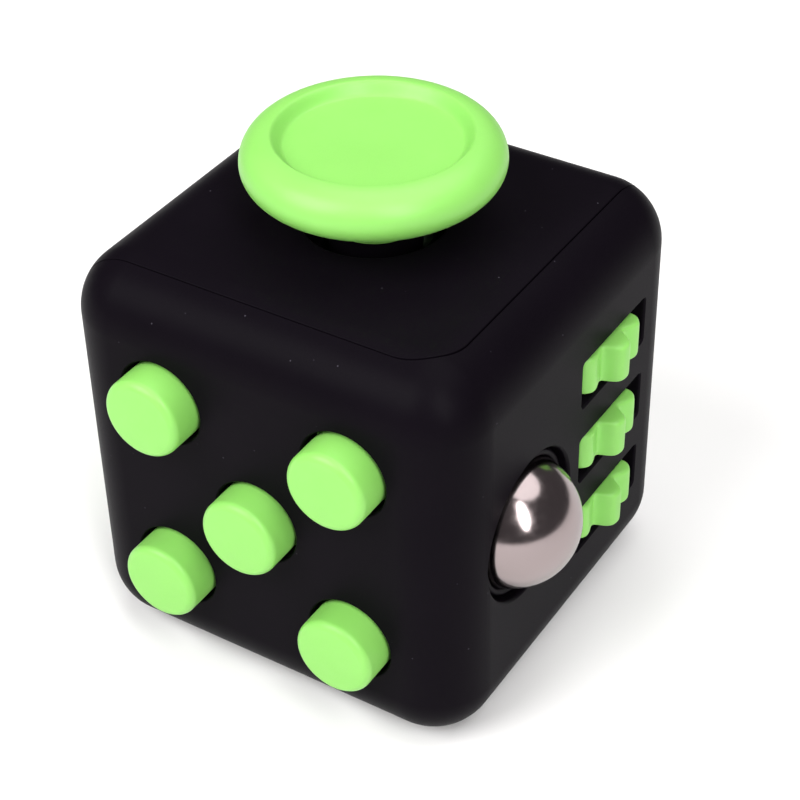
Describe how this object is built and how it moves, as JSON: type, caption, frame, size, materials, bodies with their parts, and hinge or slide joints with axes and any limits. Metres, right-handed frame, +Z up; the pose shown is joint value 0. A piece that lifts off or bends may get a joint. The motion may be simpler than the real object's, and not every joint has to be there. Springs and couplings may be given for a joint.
{
  "type": "fidget cube",
  "caption": "Rounded desk fidget cube in two shells with push buttons, a rolling ball, toothed rollers, a glide disc, a rocker, a dial and a thumb dish.",
  "frame": {"origin": "middle of the resting side, on the surface that the cube stands on", "axes": "+Z up through the glide disc; -Y out of the button face; +X out of the ball and roller face"},
  "size_m": [0.0402, 0.038, 0.0399],
  "materials": {
    "shell_black": "fine moulded satin black ABS",
    "control_green": "satin moulded green ABS",
    "inner_plastic": "plain moulded grey ABS",
    "ball_steel": "polished bearing ball",
    "pin_steel": "drawn steel",
    "spring_steel": "stamped spring steel",
    "silicone": "translucent white silicone",
    "felt": "pressed felt"
  },
  "bodies": {
    "root": {"lower_shell": "shell_black", "upper_shell": "shell_black", "dome_top_left": "spring_steel", "dome_centre": "spring_steel", "dome_bottom_right": "spring_steel", "silent_pad_top_right": "silicone", "silent_pad_bottom_left": "silicone", "click_board": "inner_plastic", "ball_dome": "spring_steel", "ball_bracket": "inner_plastic", "roller_axle": "pin_steel", "roller_cage": "inner_plastic", "glide_frame": "inner_plastic", "centring_ring": "silicone", "rocker_pin": "pin_steel", "rocker_housing": "inner_plastic", "rocker_leaf_spring": "spring_steel", "dial_washer": "felt", "housing_screws": "pin_steel"},
    "button_top_left": {"button_top_left": "control_green"},
    "button_top_right": {"button_top_right": "control_green"},
    "button_centre": {"button_centre": "control_green"},
    "button_bottom_left": {"button_bottom_left": "control_green"},
    "button_bottom_right": {"button_bottom_right": "control_green"},
    "ball_cradle": {"ball_cradle": "shell_black"},
    "steel_ball": {"steel_ball": "ball_steel"},
    "roller_top": {"roller_top": "control_green"},
    "roller_middle": {"roller_middle": "control_green"},
    "roller_bottom": {"roller_bottom": "control_green"},
    "glide_carrier": {"glide_carrier": "shell_black"},
    "glide_disc": {"glide_disc": "control_green", "glide_post": "shell_black", "glide_retainer": "inner_plastic", "glide_screw": "pin_steel"},
    "rocker": {"rocker": "control_green"},
    "dial": {"dial": "control_green", "dial_retainer": "inner_plastic", "dial_screw": "pin_steel"}
  },
  "joints": [
    {"name": "button_top_left_press", "type": "slide", "parent": "root", "child": "button_top_left", "axis": [0, 1, 0], "range_m": [0, 0.001], "stiffness_N_per_m": 400, "springref_m": -0.001, "deforming": ["dome_top_left"]},
    {"name": "button_top_right_press", "type": "slide", "parent": "root", "child": "button_top_right", "axis": [0, 1, 0], "range_m": [0, 0.001], "stiffness_N_per_m": 400, "springref_m": -0.001, "deforming": ["silent_pad_top_right"]},
    {"name": "button_centre_press", "type": "slide", "parent": "root", "child": "button_centre", "axis": [0, 1, 0], "range_m": [0, 0.001], "stiffness_N_per_m": 400, "springref_m": -0.001, "deforming": ["dome_centre"]},
    {"name": "button_bottom_left_press", "type": "slide", "parent": "root", "child": "button_bottom_left", "axis": [0, 1, 0], "range_m": [0, 0.001], "stiffness_N_per_m": 400, "springref_m": -0.001, "deforming": ["silent_pad_bottom_left"]},
    {"name": "button_bottom_right_press", "type": "slide", "parent": "root", "child": "button_bottom_right", "axis": [0, 1, 0], "range_m": [0, 0.001], "stiffness_N_per_m": 400, "springref_m": -0.001, "deforming": ["dome_bottom_right"]},
    {"name": "ball_press", "type": "slide", "parent": "root", "child": "ball_cradle", "axis": [-1, 0, 0], "range_m": [0, 0.001], "stiffness_N_per_m": 500, "springref_m": -0.001, "deforming": ["ball_dome"]},
    {"name": "ball_roll", "type": "hinge", "parent": "ball_cradle", "child": "steel_ball", "pos_m": [0.01505, -0.0064, 0.01605], "axis": [0, 0, 1], "continuous": true},
    {"name": "roller_top_turn", "type": "hinge", "parent": "root", "child": "roller_top", "pos_m": [0.0129, 0.00575, 0.0234], "axis": [0, 0, 1], "continuous": true},
    {"name": "roller_middle_turn", "type": "hinge", "parent": "root", "child": "roller_middle", "pos_m": [0.0129, 0.00575, 0.0165], "axis": [0, 0, 1], "continuous": true},
    {"name": "roller_bottom_turn", "type": "hinge", "parent": "root", "child": "roller_bottom", "pos_m": [0.0129, 0.00575, 0.0096], "axis": [0, 0, 1], "continuous": true},
    {"name": "glide_sideways", "type": "slide", "parent": "root", "child": "glide_carrier", "axis": [1, 0, 0], "range_m": [-0.0013, 0.0013], "stiffness_N_per_m": 200, "deforming": ["centring_ring"]},
    {"name": "glide_forward", "type": "slide", "parent": "glide_carrier", "child": "glide_disc", "axis": [0, 1, 0], "range_m": [-0.0013, 0.0013], "stiffness_N_per_m": 200},
    {"name": "rocker_flip", "type": "hinge", "parent": "root", "child": "rocker", "pos_m": [0, 0.0131, 0.0165], "axis": [1, 0, 0], "range_deg": [0, 20], "deforming": ["rocker_leaf_spring"]},
    {"name": "dial_spin", "type": "hinge", "parent": "root", "child": "dial", "pos_m": [-0.0165, 0, 0.0165], "axis": [-1, 0, 0], "continuous": true}
  ]
}
